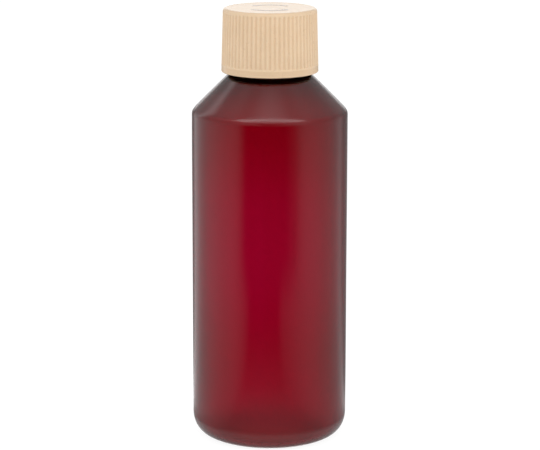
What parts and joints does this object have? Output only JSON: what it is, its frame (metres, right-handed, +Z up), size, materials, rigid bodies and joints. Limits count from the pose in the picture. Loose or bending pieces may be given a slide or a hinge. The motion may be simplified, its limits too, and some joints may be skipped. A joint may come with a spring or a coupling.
{
  "type": "screw-cap laboratory bottle",
  "caption": "Round ruby-tinted plastic bottle with a conical shoulder and a cream ribbed push-and-turn screw cap over a foam seal.",
  "frame": {"origin": "centre of the standing ring, on the plane that the bottle rests on", "axes": "+Z up along the bottle's axis, out of the mouth; +X and +Y are equal, because the bottle is round"},
  "size_m": [0.0542, 0.0542, 0.1519],
  "materials": {
    "ruby_plastic": "clear ruby-tinted blow-moulded plastic, glossy",
    "foam_liner": "white foamed polyethylene, matte",
    "natural_plastic": "natural milky polypropylene, satin",
    "cream_plastic": "cream moulded polypropylene, satin"
  },
  "bodies": {
    "bottle": {"bottle": "ruby_plastic"},
    "liner": {"sealing_liner": "foam_liner"},
    "inner": {"inner_cap": "natural_plastic"},
    "spring": {"spring_fingers": "natural_plastic"},
    "outer": {"outer_cap": "cream_plastic"}
  },
  "joints": [
    {"name": "cap_lift", "type": "slide", "parent": "bottle", "child": "liner", "axis": [0, 0, 1], "range_m": [0, 0.01908]},
    {"name": "cap_turn", "type": "hinge", "parent": "liner", "child": "inner", "pos_m": [0, 0, 0.139], "axis": [0, 0, 1], "range_deg": [0, 2161]},
    {"name": "cap_press", "type": "slide", "parent": "inner", "child": "spring", "axis": [0, 0, -1], "range_m": [0, 0.0012], "stiffness_N_per_m": 400, "deforming": ["spring_fingers"]},
    {"name": "outer_spin", "type": "hinge", "parent": "spring", "child": "outer", "pos_m": [0, 0, 0.145], "axis": [0, 0, 1], "continuous": true}
  ],
  "couplings": [
    {"joint": "cap_turn", "follows": "cap_lift", "rad_per_m": 1975.8}
  ]
}
